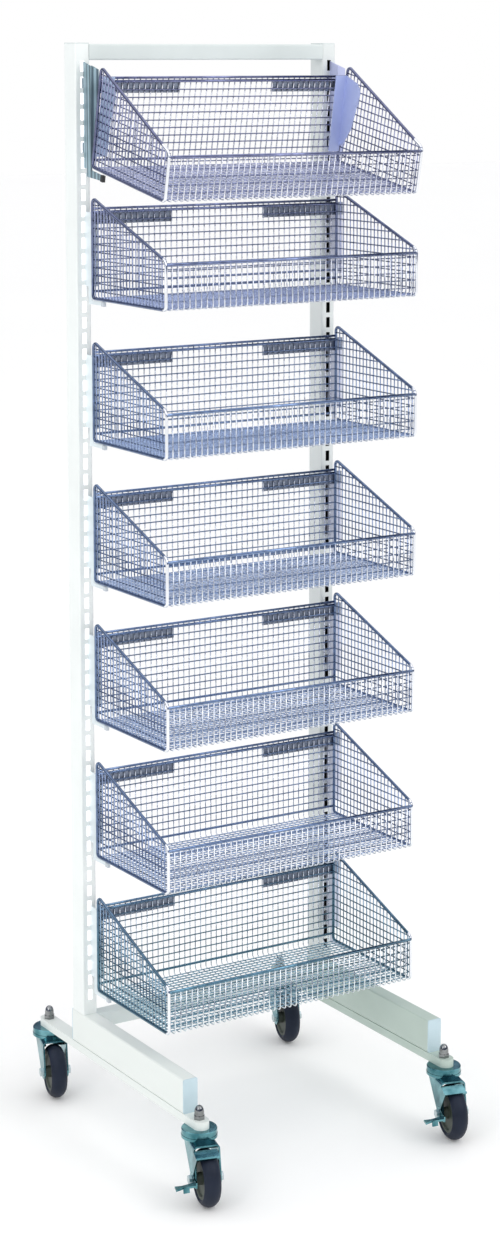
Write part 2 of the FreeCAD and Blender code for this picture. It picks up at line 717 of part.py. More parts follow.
def hook_plate(side, hooked):
    """Plate behind the back mesh; its outer end folds over the hanger's web."""
    top = HANGER_TOP - 1
    web_start = slot_plate_x(side) + SHEET
    if side < 0:
        outer = web_start + 0.5
        plain_start, plain_end = outer, outer + HOOK_PLATE_LENGTH
        hook_start, hook_end = outer, web_start + HANGER_WEB - 0.5
    else:
        inner = LOOP_X - HOOK_PLATE_LENGTH
        outer = web_start + HANGER_WEB - 1.0
        plain_start, plain_end = inner, outer if hooked else LOOP_X
        hook_start, hook_end = web_start + 0.5, outer
    plate = box(plain_start, plain_end, 0, PLATE_SHEET, top - HOOK_PLATE_HEIGHT, top)
    if not hooked:
        return plate
    web_front = HANGER_FRONT - BASKET_BACK
    lip_front = web_front + SHEET + HOOK_GAP
    lip_back = lip_front + PLATE_SHEET
    fold_under = HANGER_TOP + HOOK_GAP
    fold_top = fold_under + PLATE_SHEET
    hook = side_plate(
        [
            (0, top - HOOK_PLATE_HEIGHT), (0, fold_top), (lip_back, fold_top),
            (lip_back, HANGER_TOP - HOOK_LIP), (lip_front, HANGER_TOP - HOOK_LIP), (lip_front, fold_under),
            (PLATE_SHEET, fold_under), (PLATE_SHEET, top - HOOK_PLATE_HEIGHT),
        ],
        hook_start,
        hook_end,
    )
    return plate.fuse(hook).removeSplitter()


def corner_wing(side):
    """Angle plate inside a back corner: one flange on the back, one on the side."""
    inner = LOOP_X - FINE_WIRE - WING_GAP
    back = LOOP_BACK - FINE_WIRE - WING_GAP
    side_flange = side_plate(
        [
            (back, WING_BOTTOM + 8), (back, WING_TOP), (back - WING_DEPTH + 11, WING_TOP - 7),
            (back - WING_DEPTH + 3, WING_TOP - 14), (back - WING_DEPTH, WING_TOP - 23),
            (back - WING_DEPTH + 15, WING_BOTTOM + 42), (back - 12, WING_BOTTOM + 14),
        ],
        inner - PLATE_SHEET,
        inner,
    )
    back_flange = prism(
        [
            Vector(inner, back, WING_BOTTOM), Vector(inner, back, WING_TOP),
            Vector(inner - WING_WIDTH, back, WING_TOP),
            Vector(inner - WING_WIDTH + 2, back, WING_BOTTOM),
        ],
        Vector(0, -PLATE_SHEET, 0),
    )
    wing = side_flange.fuse(back_flange).removeSplitter()
    if side < 0:
        wing = wing.mirror(Vector(0, 0, 0), Vector(1, 0, 0))
    return wing


def basket_bottom(number):
    """Floor height of a level basket; basket 2 is the highest of them."""
    return SECOND_BASKET_BOTTOM - (number - 2) * SLOTS_PER_TIER * SLOT_PITCH


def place_basket(shape, number):
    """Move a basket piece to its tier; basket 1 leans forward on its lower rear wire."""
    if number > 1:
        return moved(shape, 0, BASKET_BACK, basket_bottom(number))
    pivot = Vector(0, LOOP_BACK, LOOP_BOTTOM)
    leaning = turned(shape, Vector(1, 0, 0), TILT_ANGLE, pivot)
    return moved(leaning, 0, TILTED_BACK, TILTED_BOTTOM)


def build_baskets():
    frame = basket_frame()
    mesh = basket_mesh()
    for number in range(1, BASKET_COUNT + 1):
        pieces = {
            "frame": frame,
            "mesh": mesh,
            "hook_plates": [hook_plate(side, number > 1) for _, side in SIDES],
        }
        if number == 1:
            pieces["wings"] = [corner_wing(side) for _, side in SIDES]
        for piece, solids in pieces.items():
            nodes[f"basket_{number}_{piece}"] = [place_basket(s, number) for s in solids]


# ---------------------------------------------------------------- hangers

def tongues(x, slot_indices):
    """Hooked tongues that pass through slots and drop behind the tube's wall."""
    behind = TUBE_WALL + 0.3
    solids = []
    for index in slot_indices:
        top = slot_top(index) - 2
        bottom = slot_top(index) - SLOT_HEIGHT
        outline = [
            (-1, top), (behind + 3, top), (behind + 3, bottom - TONGUE_DROP),
            (behind, bottom - TONGUE_DROP), (behind, bottom + 0.4), (-1, bottom + 0.4),
        ]
        solids.append(side_plate(outline, x, x + SHEET))
    return solids


def first_slot_below(height):
    """Index of the first slot whose top lies below a height."""
    return math.ceil((FIRST_SLOT_TOP - height) / SLOT_PITCH)


def hanger(side, floor):
    """Level hanger: plate in the slots, front web, and an arm under the basket."""
    x = slot_plate_x(side)
    top = floor + HANGER_TOP
    web_bottom = floor + HANGER_WEB_BOTTOM
    arm_top = floor - ARM_DROP
    arm_bottom = arm_top - ARM_HEIGHT
    strip = HANGER_FRONT + HANGER_STRIP_DEPTH
    plate = side_plate(
        [
            (0, top), (HANGER_FRONT, top), (HANGER_FRONT, arm_top),
            (HANGER_FRONT - ARM_LENGTH, arm_top), (HANGER_FRONT - ARM_LENGTH, arm_bottom),
            (strip, arm_bottom), (strip, web_bottom), (0, web_bottom),
        ],
        x,
        x + SHEET,
    )
    web = box(
        x, x + SHEET + HANGER_WEB, HANGER_FRONT, HANGER_FRONT + SHEET, web_bottom, top
    )
    first = first_slot_below(top)
    shape = plate.fuse(web)
    for tongue in tongues(x, (first, first + 3)):
        shape = shape.fuse(tongue)
    return shape.removeSplitter()


def arm_direction():
    """Unit vector along the tilt bracket's arm, forward and down."""
    angle = math.radians(TILT_ANGLE)
    return Vector(0, -math.cos(angle), -math.sin(angle))


def tilt_bracket(side):
    """Channel that holds the tilted basket: walls, front web and a sloping arm."""
    x = slot_plate_x(side)
    top = TILT_BRACKET_TOP
    front = TILT_BRACKET_FRONT
    bottom = TILTED_BOTTOM
    far = x + TILT_BRACKET_WIDTH
    near_top = top - BRACKET_NEAR_SLOPE
    far_top = top - BRACKET_FAR_SLOPE
    far_bottom = bottom + BRACKET_FAR_FRONT_RISE
    slot_wall = side_plate([(0, top), (front, near_top), (front, bottom), (0, bottom)], x, x + SHEET)
    far_wall = side_plate(
        [
            (-2, top - BRACKET_FAR_SLOPE / 2), (front, far_top),
            (front, far_bottom), (-2, bottom + BRACKET_FAR_REAR_RISE),
        ],
        far - SHEET,
        far,
    )
    web = prism(
        [
            Vector(x, front, near_top), Vector(far, front, far_top),
            Vector(far, front, far_bottom), Vector(x, front, bottom),
        ],
        Vector(0, SHEET, 0),
    )
    along = arm_direction()
    down = Vector(0, along.z, -along.y) * -1
    root = front + BRACKET_ARM_ROOT
    arm_top = bottom - 2 - ARM_DROP
    rise = BRACKET_ARM_ROOT * math.tan(math.radians(TILT_ANGLE))
    start = Vector(x, root, arm_top + rise)
    end = Vector(x, front, arm_top) + along * ARM_LENGTH
    arm = prism(
        [start, end, end + down * TILTED_ARM_HEIGHT, start + down * (TILTED_ARM_HEIGHT + 4)],
        Vector(SHEET, 0, 0),
    )
    joint = side_plate(
        [(front, bottom), (root, bottom), (root, bottom - 6), (front, bottom - 6)], x, x + SHEET
    )
    shape = slot_wall.fuse(far_wall).fuse(web).fuse(arm).fuse(joint)
    first = first_slot_below(top)
    for tongue in tongues(x, (first, first + 4)):
        shape = shape.fuse(tongue)
    return shape.removeSplitter()


def tip(arm_height):
    """Cap block at the end of an arm; its rear face is at the origin."""
    return box(-1.5, SHEET + 1.5, -TIP_LENGTH, 0, -arm_height - 0.8, 0.6)


def build_hangers():
    tips = []
    for name, side in SIDES:
        x = slot_plate_x(side)
        level = [basket_bottom(number) for number in range(2, BASKET_COUNT + 1)]
        nodes[name + "_hangers"] = [hanger(side, floor) for floor in level]
        nodes[name + "_tilt_bracket"] = [tilt_bracket(side)]
        for floor in level:
            tips.append(moved(tip(ARM_HEIGHT), x, HANGER_FRONT - ARM_LENGTH, floor - ARM_DROP))
        end = Vector(x, TILT_BRACKET_FRONT, TILTED_BOTTOM - 2 - ARM_DROP)
        end += arm_direction() * ARM_LENGTH
        leaning = turned(tip(TILTED_ARM_HEIGHT), Vector(1, 0, 0), TILT_ANGLE)
        tips.append(moved(leaning, end.x, end.y, end.z))
    nodes["hanger_tips"] = tips


# ---------------------------------------------------------------- whole rack

def whole_box():
    """Box around every solid."""
    limits = FreeCAD.BoundBox()
    for solids in nodes.values():
        for solid in solids:
            limits.add(solid.optimalBoundingBox(False))
    return limits


def export():
    """Write each node, moved so that the footprint's middle is at X = Y = 0."""
    os.makedirs("parts", exist_ok=True)
    limits = whole_box()
    shift = Vector(-limits.Center.x, -limits.Center.y, -limits.ZMin)
    for name, solids in nodes.items():
        placed = [moved(solid, shift.x, shift.y, shift.z) for solid in solids]
        shape = placed[0] if len(placed) == 1 else Part.makeCompound(placed)
        shape.exportStep("parts/" + name + ".step")
    print("nodes", len(nodes))
    print("shift", round(shift.x, 4), round(shift.y, 4), round(shift.z, 4))
    print("size", round(limits.XLength, 3), round(limits.YLength, 3), round(limits.ZLength, 3))


build_frame()
build_casters()
build_baskets()
build_hangers()
export()
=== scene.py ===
import json
import math

import bpy
from mathutils import Euler, Matrix, Vector


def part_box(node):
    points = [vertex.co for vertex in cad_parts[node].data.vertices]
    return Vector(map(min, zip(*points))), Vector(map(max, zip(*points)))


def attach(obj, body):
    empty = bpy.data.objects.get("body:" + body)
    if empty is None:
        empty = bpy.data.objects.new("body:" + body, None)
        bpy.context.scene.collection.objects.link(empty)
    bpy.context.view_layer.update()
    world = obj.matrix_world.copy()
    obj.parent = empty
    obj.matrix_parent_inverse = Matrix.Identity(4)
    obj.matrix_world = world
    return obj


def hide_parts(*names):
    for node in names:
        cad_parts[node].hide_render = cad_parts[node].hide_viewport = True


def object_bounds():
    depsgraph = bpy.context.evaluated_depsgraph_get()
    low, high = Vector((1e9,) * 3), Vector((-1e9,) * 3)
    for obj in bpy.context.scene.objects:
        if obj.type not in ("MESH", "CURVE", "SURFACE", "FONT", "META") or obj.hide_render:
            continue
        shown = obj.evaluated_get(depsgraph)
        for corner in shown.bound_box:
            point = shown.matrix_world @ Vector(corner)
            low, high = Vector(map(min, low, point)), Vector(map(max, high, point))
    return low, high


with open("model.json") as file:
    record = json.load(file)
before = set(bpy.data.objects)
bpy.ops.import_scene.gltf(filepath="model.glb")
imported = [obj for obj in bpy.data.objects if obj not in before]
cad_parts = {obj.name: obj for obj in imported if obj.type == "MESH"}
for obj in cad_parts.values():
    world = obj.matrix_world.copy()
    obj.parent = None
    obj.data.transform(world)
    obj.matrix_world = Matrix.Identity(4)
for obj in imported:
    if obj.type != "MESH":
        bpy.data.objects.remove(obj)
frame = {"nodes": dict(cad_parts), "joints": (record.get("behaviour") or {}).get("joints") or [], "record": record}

cad_low, cad_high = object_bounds()
nodes = frame["nodes"]
joints = {joint["name"]: joint for joint in frame["joints"]}

# ---------------------------------------------------------------- driving sizes, metres

MM = 0.001
HEAVY_RADIUS = 2.5 * MM
RAIL_RADIUS = 2.0 * MM
FINE_RADIUS = 1.0 * MM
FRONT_HEIGHT = 79.0 * MM
FRONT_RAIL_HEIGHT = 71.0 * MM
BACK_RAIL_HEIGHT = 145.0 * MM
BACK_RAIL_GAP = 5.5 * MM
LOWER_RAIL_HEIGHT = 14.0 * MM
CELLS_WIDE = 45
CELLS_DEEP = 23
CELLS_FRONT = 6
CELLS_BACK = 12
BASKET_COUNT = 7

# bends: of the fine wires, and of a side loop at its back foot, peak, front top and front foot
MESH_BEND = 5.0 * MM
LOOP_BENDS = (6.0 * MM, 7.0 * MM, 12.0 * MM, 7.0 * MM)
BEND_STEPS = 4
LOOP_BEND_STEPS = 8

# flat sides round each kind of wire
FINE_SIDES = 8
LOOP_SIDES = 16
RAIL_SIDES = 14

RAIL_END_GAP = 0.5 * MM
EDGE_SOFTNESS = 0.4 * MM
EDGE_ANGLE = 40

left_low, left_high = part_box("left_upright")
right_low, right_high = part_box("right_upright")
RACK_MIDDLE = (left_low.x + right_high.x) / 2
RACK_FRONT = left_low.y
RACK_FLOOR = cad_low.z
TUBE_WALL = 1.6 * MM
UPRIGHT_TOP = left_high.z

basket_low, basket_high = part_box("basket_2_frame")
BASKET_WIDTH = basket_high.x - basket_low.x
BASKET_DEPTH = basket_high.y - basket_low.y
LOOP_X = BASKET_WIDTH / 2 - HEAVY_RADIUS
LOOP_BACK = -HEAVY_RADIUS
LOOP_FRONT = -BASKET_DEPTH + HEAVY_RADIUS
LOOP_BOTTOM = HEAVY_RADIUS
LOOP_PEAK = 162.5 * MM
LOOP_FRONT_TOP = FRONT_HEIGHT - HEAVY_RADIUS


# ---------------------------------------------------------------- camera

CAMERA_OFFSET = Vector((-2.195, -3.625, -0.0135))
CAMERA_AZIMUTH = 32.09
CAMERA_PITCH = 7.65
CAMERA_LENS = 75.05
CAMERA_SHIFT_Y = -0.1777


def add_camera():
    """Camera at standing eye height, left of the rack and in front of it."""
    data = bpy.data.cameras.new("camera")
    camera = bpy.data.objects.new("camera", data)
    bpy.context.scene.collection.objects.link(camera)
    camera.location = Vector((RACK_MIDDLE, RACK_FRONT, UPRIGHT_TOP)) + CAMERA_OFFSET
    turn = (math.radians(90 - CAMERA_PITCH), 0, math.radians(-CAMERA_AZIMUTH))
    camera.rotation_euler = Euler(turn)
    data.lens = CAMERA_LENS
    data.sensor_width = 36
    data.shift_y = CAMERA_SHIFT_Y
    data.clip_end = 50
    bpy.context.scene.camera = camera


# ---------------------------------------------------------------- materials

WIRE_VIOLET = (0.39, 0.42, 0.68)
WIRE_BLUE = (0.36, 0.50, 0.80)
WIRE_TEAL = (0.23, 0.46, 0.60)

# share of the rack's height, and the wires' tint there
WIRE_TINTS = ((0.16, WIRE_TEAL), (0.26, WIRE_BLUE), (0.68, WIRE_BLUE), (0.92, WIRE_VIOLET))

# shares that count as reached and as not begun
NEARLY_ALL = 0.999
NEARLY_NONE = 0.001

TILTED_SHARE = 0.85
# Painted highlight: the side loops are painted this white where they reach more than this far in front of the
# uprights, at the front corner.
LOOP_PAINTED_HIGHLIGHT_FROM = 250.0 * MM
LOOP_PAINTED_HIGHLIGHT = (0.86, 0.88, 0.92)
TIP_BLACK = (0.02, 0.02, 0.022)
# Painted light: the left foot is painted paler, in this colour, mixed in by this share.
LEFT_FOOT_PAINTED_LIGHT = (0.90, 0.92, 0.91)
LEFT_FOOT_PAINTED_LIGHT_SHARE = 0.7


def new_material(name):
    """Empty node material with its principled shader."""
    material = bpy.data.materials.new(name)
    material.use_nodes = True
    shader = material.node_tree.nodes["Principled BSDF"]
    return material, material.node_tree, shader


def noise(tree, scale, detail=3.0, stretch=(1, 1, 1)):
    """Noise texture on object coordinates."""
    coordinates = tree.nodes.new("ShaderNodeTexCoord")
    mapping = tree.nodes.new("ShaderNodeMapping")
    mapping.inputs["Scale"].default_value = stretch
    texture = tree.nodes.new("ShaderNodeTexNoise")
    texture.inputs["Scale"].default_value = scale
    texture.inputs["Detail"].default_value = detail
    tree.links.new(coordinates.outputs["Object"], mapping.inputs["Vector"])
    tree.links.new(mapping.outputs["Vector"], texture.inputs["Vector"])
    return texture.outputs["Fac"]


def bands(tree, value, stops):
    """Colour ramp through its stops, each a position and a colour, in rising order."""
    node = tree.nodes.new("ShaderNodeValToRGB")
    elements = node.color_ramp.elements
    elements.remove(elements[-1])
    for i, (position, colour) in enumerate(stops):
        element = elements.new(position) if i else elements[0]
        element.position = position
        element.color = (*colour, 1)
    tree.links.new(value, node.inputs["Fac"])
    return node.outputs["Color"]


def ramp(tree, value, low, high, start=0.3, end=0.7):
    """Colour ramp between two colours."""
    return bands(tree, value, ((start, low), (end, high)))


def spread(tree, value, low, high):
    """A value from 0 to 1 mapped to a range."""
    node = tree.nodes.new("ShaderNodeMapRange")
    node.inputs["To Min"].default_value = low
    node.inputs["To Max"].default_value = high
    tree.links.new(value, node.inputs["Value"])
    return node.outputs["Result"]


def bump(tree, shader, value, strength, distance):
    """Bump from a value into the shader's normal."""
    node = tree.nodes.new("ShaderNodeBump")
    node.inputs["Strength"].default_value = strength
    node.inputs["Distance"].default_value = distance
    tree.links.new(value, node.inputs["Height"])
    tree.links.new(node.outputs["Normal"], shader.inputs["Normal"])


def along(tree, axis, start, end):
    """Share of the way along one object axis, from 0 at the start to 1 at the end."""
    coordinates = tree.nodes.new("ShaderNodeTexCoord")
    split = tree.nodes.new("ShaderNodeSeparateXYZ")
    node = tree.nodes.new("ShaderNodeMapRange")
    node.inputs["From Min"].default_value = start
    node.inputs["From Max"].default_value = end
    tree.links.new(coordinates.outputs["Object"], split.inputs["Vector"])
    tree.links.new(split.outputs[axis], node.inputs["Value"])
    return node.outputs["Result"]


def maths(tree, operation, first, second):
    """Result of one maths node; each side is a number or another node's output."""
    node = tree.nodes.new("ShaderNodeMath")
    node.operation = operation
    for socket, value in ((node.inputs[0], first), (node.inputs[1], second)):
        if isinstance(value, (int, float)):
            socket.default_value = value
        else:
            tree.links.new(value, socket)
    return node.outputs[0]


def mixed(tree, share, first, second, kind="MIX"):
    """Two colours mixed by a share; each is a colour or another node's output."""
    node = tree.nodes.new("ShaderNodeMix")
    node.data_type = "RGBA"
    node.blend_type = kind
    for socket, value in ((node.inputs[0], share), (node.inputs[6], first), (node.inputs[7], second)):
        if isinstance(value, (int, float)):
            socket.default_value = value
        elif isinstance(value, tuple):
            socket.default_value = (*value, 1)
        else:
            tree.links.new(value, socket)
    return node.outputs[2]


def recoloured(material, share, colour):
    """The material with another base colour mixed in by a share."""
    tree = material.node_tree
    base = tree.nodes["Principled BSDF"].inputs["Base Color"]
    before = base.links[0].from_socket
    tree.links.new(mixed(tree, share, before, colour), base)
    return material


def powder_coat(name, low, high, roughness=0.42):
    """Satin powder coat: fine orange peel and a slight change of tone."""
    material, tree, shader = new_material(name)
    tone = noise(tree, 9.0, 4.0)
    tree.links.new(ramp(tree, tone, low, high), shader.inputs["Base Color"])
    peel = noise(tree, 900.0, 2.0)
    tree.links.new(spread(tree, peel, roughness - 0.06, roughness + 0.08), shader.inputs["Roughness"])
    shader.inputs["Coat Weight"].default_value = 0.25
    shader.inputs["Coat Roughness"].default_value = 0.25
    bump(tree, shader, peel, 0.12, 0.0003)
    return material


def upright_paint(name, low, high, tone, painted_inside_brightness):
    """Powder coat of an upright, with a painted grey on the walls inside the tube that glows by the same amount:
    painted shade where it is dark, painted light where it is pale.
    """
    darker = (tone - 0.07, tone - 0.03, tone - 0.04)
    lighter = (tone - 0.01, tone + 0.03, tone + 0.02)
    material = powder_coat(name, darker, lighter)
    tree = material.node_tree
    shader = tree.nodes["Principled BSDF"]
    middle = (low + high) / 2
    far_y = along(tree, "Y", middle.y, high.y - TUBE_WALL / 2)
    far_x = along(tree, "X", middle.x, high.x - TUBE_WALL / 2)
    near_y = along(tree, "Y", middle.y, low.y + TUBE_WALL / 2)
    near_x = along(tree, "X", middle.x, low.x + TUBE_WALL / 2)
    # Mask of the walls inside the tube, which carry the painted light and shade.
    painted_inside_share = 1.0
    for share in (far_y, far_x, near_y, near_x):
        painted_inside_share = maths(tree, "MULTIPLY", maths(tree, "LESS_THAN", share, NEARLY_ALL), painted_inside_share)
    # Painted light and shade: the inside walls are painted one grey and glow with it, pale in the left upright,
    # near black in the right one.
    shader.inputs["Emission Color"].default_value = (painted_inside_brightness, painted_inside_brightness, painted_inside_brightness * 1.05, 1)
    tree.links.new(maths(tree, "MULTIPLY", painted_inside_share, painted_inside_brightness), shader.inputs["Emission Strength"])
    return recoloured(material, painted_inside_share, (painted_inside_brightness,) * 3)


def plated(name, low, high, rough_low, rough_high, scale=60.0, stretch=(1, 1, 1), grain=0.08):
    """Plated metal: patchy tone, uneven roughness and a fine grain."""
    material, tree, shader = new_material(name)
    shader.inputs["Metallic"].default_value = 1.0
    patches = noise(tree, scale, 4.0, stretch)
    tree.links.new(ramp(tree, patches, low, high), shader.inputs["Base Color"])
    tree.links.new(spread(tree, patches, rough_low, rough_high), shader.inputs["Roughness"])
    fine = noise(tree, scale * 20, 2.0, stretch)
    bump(tree, shader, fine, grain, 0.0002)
    return material


def wire_zinc(name, painted_brightness, rough_low, rough_high, scale, painted_paleness=0.0):
    """Bright zinc wire: violet on the upper tiers, steel blue below and teal on the lowest, at a painted
    brightness and paleness that stand for light and shade.
    """
    material, tree, shader = new_material(name)
    shader.inputs["Metallic"].default_value = 1.0
    tiers = bands(tree, along(tree, "Z", RACK_FLOOR, UPRIGHT_TOP), WIRE_TINTS)
    patches = noise(tree, scale, 4.0)
    # Painted light and shade: the brightness scales the colour and the paleness mixes in white, set by how light
    # falls on each kind of wire.
    shade = ramp(tree, patches, (painted_brightness * 0.75,) * 3, (painted_brightness * 1.25,) * 3)
    tint = mixed(tree, painted_paleness, tiers, (1.0, 1.0, 1.0))
    tree.links.new(mixed(tree, 1.0, tint, shade, "MULTIPLY"), shader.inputs["Base Color"])
    tree.links.new(spread(tree, patches, rough_low, rough_high), shader.inputs["Roughness"])
    bump(tree, shader, noise(tree, scale * 20, 2.0), 0.08, 0.0002)
    return material


def hanger_finish(name, left, right, metallic, streaks=0.0):
    """Zinc sheet whose tint runs from the left upright to the right one, with upright streaks."""
    material, tree, shader = new_material(name)
    shader.inputs["Metallic"].default_value = metallic
    across = along(tree, "X", left_low.x, right_high.x)
    tint = mixed(tree, across, left, right)
    patches = noise(tree, 22.0, 4.0, (1, 1, 0.4))
    shade = ramp(tree, patches, (0.85, 0.85, 0.87), (1.0, 1.0, 1.0))
    lines = noise(tree, 220.0, 1.0, (1, 1, 0.01))
    dark = ramp(tree, lines, (0.10, 0.13, 0.16), (1.0, 1.0, 1.0), 0.45, 0.55)
    share = maths(tree, "MULTIPLY", maths(tree, "LESS_THAN", across, 0.5), streaks)
    tint = mixed(tree, share, tint, mixed(tree, 1.0, tint, dark, "MULTIPLY"))
    tree.links.new(mixed(tree, 1.0, tint, shade, "MULTIPLY"), shader.inputs["Base Color"])
    tree.links.new(spread(tree, patches, 0.32, 0.5), shader.inputs["Roughness"])
    bump(tree, shader, noise(tree, 500.0, 2.0, (1, 1, 0.05)), 0.1, 0.0002)
    return material


def moulded(name, low, high, roughness, scale=500.0, strength=0.15, gloss=0.5):
    """Moulded plastic or rubber: fine leather-like grain."""
    material, tree, shader = new_material(name)
    shader.inputs["Specular IOR Level"].default_value = gloss
    tone = noise(tree, 25.0, 4.0)
    tree.links.new(ramp(tree, tone, low, high), shader.inputs["Base Color"])
    grain = noise(tree, scale, 3.0)
    tree.links.new(spread(tree, grain, roughness - 0.08, roughness + 0.08), shader.inputs["Roughness"])
    bump(tree, shader, grain, strength, 0.0003)
    return material


def foot_finish_and_painted_light(name):
    """Powder coat of the feet, with painted light that makes the left foot paler."""
    material = powder_coat(name, (0.47, 0.57, 0.51), (0.52, 0.62, 0.56))
    tree = material.node_tree
    left = maths(tree, "LESS_THAN", along(tree, "X", left_low.x, right_high.x), 0.5)
    return recoloured(material, maths(tree, "MULTIPLY", left, LEFT_FOOT_PAINTED_LIGHT_SHARE), LEFT_FOOT_PAINTED_LIGHT)


def tip_finish(name):
    """Plastic of the arm tips: black on the tilt brackets, pale grey on the level hangers."""
    material = moulded(name, (0.50, 0.55, 0.60), (0.56, 0.61, 0.66), 0.45)
    tree = material.node_tree
    height = along(tree, "Z", RACK_FLOOR, UPRIGHT_TOP)
    return recoloured(material, maths(tree, "GREATER_THAN", height, TILTED_SHARE), TIP_BLACK)


def loop_zinc_with_painted_highlight(name):
    """Heavy side wire: zinc darkened as painted shade, with a painted white highlight at the front corner."""
    material = wire_zinc(name, 0.42, 0.05, 0.12, 90.0)
    tree = material.node_tree
    # Painted highlight: the front corner of the loop is painted white.
    depth = along(tree, "Y", RACK_FRONT - LOOP_PAINTED_HIGHLIGHT_FROM, RACK_FRONT)
    return recoloured(material, maths(tree, "LESS_THAN", depth, NEARLY_NONE), LOOP_PAINTED_HIGHLIGHT)


def make_materials():
    """Every finish on the rack, by name."""
    return {
        "frame_paint": powder_coat("frame_paint", (0.66, 0.72, 0.71), (0.72, 0.78, 0.77)),
        # Painted light: the left upright is painted paler than the right one, and inside its tube painted pale and
        # glowing; painted shade: inside the right upright's tube is painted near black.
        "left_upright_paint_and_painted_light": upright_paint("left_upright_paint_and_painted_light", left_low, left_high, 0.88, 0.75),
        "right_upright_paint_and_painted_shade": upright_paint("right_upright_paint_and_painted_shade", right_low, right_high, 0.79, 0.02),
        "foot_paint": foot_finish_and_painted_light("foot_paint"),
        "plug_plastic": moulded("plug_plastic", (0.50, 0.64, 0.70), (0.56, 0.70, 0.76), 0.4),
        # The wire finishes are one zinc at different brightnesses as painted light and shade: palest on the long
        # wires, then the cross wires and the rails, darkest on the level wires and the side loops.
        "basket_wire": wire_zinc("basket_wire", 0.74, 0.14, 0.26, 140.0, 0.15),
        "long_wire_painted_light": wire_zinc("long_wire_painted_light", 1.0, 0.20, 0.34, 140.0, 0.78),
        "level_wire_painted_shade": wire_zinc("level_wire_painted_shade", 0.42, 0.12, 0.22, 140.0),
        "basket_rail": wire_zinc("basket_rail", 0.55, 0.05, 0.12, 90.0),
        "loop_zinc_with_painted_highlight": loop_zinc_with_painted_highlight("loop_zinc_with_painted_highlight"),
        "hook_plate_zinc": plated(
            "hook_plate_zinc", (0.20, 0.23, 0.30), (0.34, 0.38, 0.46), 0.35, 0.55, 45.0, (1, 1, 6)
        ),
        "hanger_zinc": hanger_finish("hanger_zinc", (0.80, 0.88, 0.90), (0.72, 0.74, 0.86), 0.25),
        "bracket_zinc": hanger_finish("bracket_zinc", (0.36, 0.52, 0.58), (0.58, 0.62, 0.88), 0.15, 0.8),
        "wing_zinc": hanger_finish("wing_zinc", (0.42, 0.54, 0.74), (0.52, 0.60, 0.94), 0.15),
        "tip_plastic": tip_finish("tip_plastic"),
        "caster_zinc": plated(
            "caster_zinc", (0.025, 0.125, 0.15), (0.20, 0.43, 0.47), 0.08, 0.24, 40.0
        ),
        "bolt_zinc": plated("bolt_zinc", (0.40, 0.50, 0.52), (0.60, 0.68, 0.70), 0.25, 0.40, 80.0),
        "nut_chrome": plated("nut_chrome", (0.16, 0.17, 0.17), (0.34, 0.35, 0.35), 0.08, 0.18, 60.0),
        "hub_plastic": moulded("hub_plastic", (0.030, 0.042, 0.032), (0.060, 0.075, 0.055), 0.5),
        "tyre_rubber": moulded(
            "tyre_rubber", (0.010, 0.015, 0.028), (0.018, 0.025, 0.045), 0.5, gloss=0.18
        ),
    }


# ---------------------------------------------------------------- wires

def rounded_path(points, radius, steps=BEND_STEPS, closed=False):
    """Points with their corners rounded by short arcs; ends of an open path stay."""
    count = len(points)
    result = []
    for i, corner in enumerate(points):
        if not closed and i in (0, count - 1):
            result.append(corner)
            continue
        bend = radius[i] if isinstance(radius, (list, tuple)) else radius
        back = (points[i - 1] - corner).normalized()
        ahead = (points[(i + 1) % count] - corner).normalized()
        half = back.angle(ahead) / 2
        setback = bend / math.tan(half)
        centre = corner + (back + ahead).normalized() * (bend / math.sin(half))
        start = corner + back * setback - centre
        end = corner + ahead * setback - centre
        for step in range(steps + 1):
            angle = start.angle(end)
            share = math.tan(angle * (0.5 - step / steps)) / (2 * math.tan(angle / 2))
            result.append(centre + start.lerp(end, 0.5 - share).normalized() * bend)
    return result


class WireMesh:
    """Collects round wires and makes one mesh object of them."""

    def __init__(self):
        self.vertices = []
        self.faces = []

    def add(self, path, radius, sides=FINE_SIDES, closed=False):
        """A tube along a path, with flat ends if the path is open."""
        count = len(path)
        first = len(self.vertices)
        normal = None
        for i, point in enumerate(path):
            if closed:
                tangent = (path[(i + 1) % count] - path[i - 1]).normalized()
            else:
                tangent = (path[min(i + 1, count - 1)] - path[max(i - 1, 0)]).normalized()
            if normal is None:
                normal = tangent.orthogonal().normalized()
            normal = (normal - tangent * normal.dot(tangent)).normalized()
            side = tangent.cross(normal)
            for k in range(sides):
                angle = 2 * math.pi * k / sides
                spoke = normal * math.cos(angle) + side * math.sin(angle)
                self.vertices.append(point + spoke * radius)
        rings = count if closed else count - 1
        for i in range(rings):
            here = first + i * sides
            there = first + ((i + 1) % count) * sides
            for k in range(sides):
                following = (k + 1) % sides
                self.faces.append((here + k, here + following, there + following, there + k))
        if not closed:
            last = first + (count - 1) * sides
            self.faces.append(tuple(first + k for k in reversed(range(sides))))
            self.faces.append(tuple(last + k for k in range(sides)))

    def make(self, name, material, matrix):
        """The mesh object, moved to its place by a matrix."""
        mesh = bpy.data.meshes.new(name)
        mesh.from_pydata([matrix @ v for v in self.vertices], [], self.faces)
        mesh.shade_smooth()
        mesh.materials.append(material)
        piece = bpy.data.objects.new(name, mesh)
        bpy.context.scene.collection.objects.link(piece)
        return piece


def spaced(start, end, cells):
    """Evenly spaced positions, both ends included."""
    return [start + (end - start) * i / cells for i in range(cells + 1)]


def slope_height(y):
    """Height of the side loop's sloping edge."""
    share = (LOOP_BACK - y) / (LOOP_BACK - LOOP_FRONT)
    return LOOP_PEAK + share * (LOOP_FRONT_TOP - LOOP_PEAK)


def slope_front(z):
    """Forward end of a side panel at one height."""
    if z <= LOOP_FRONT_TOP:
        return LOOP_FRONT
    share = (LOOP_PEAK - z) / (LOOP_PEAK - LOOP_FRONT_TOP)
    return LOOP_BACK + share * (LOOP_FRONT - LOOP_BACK)


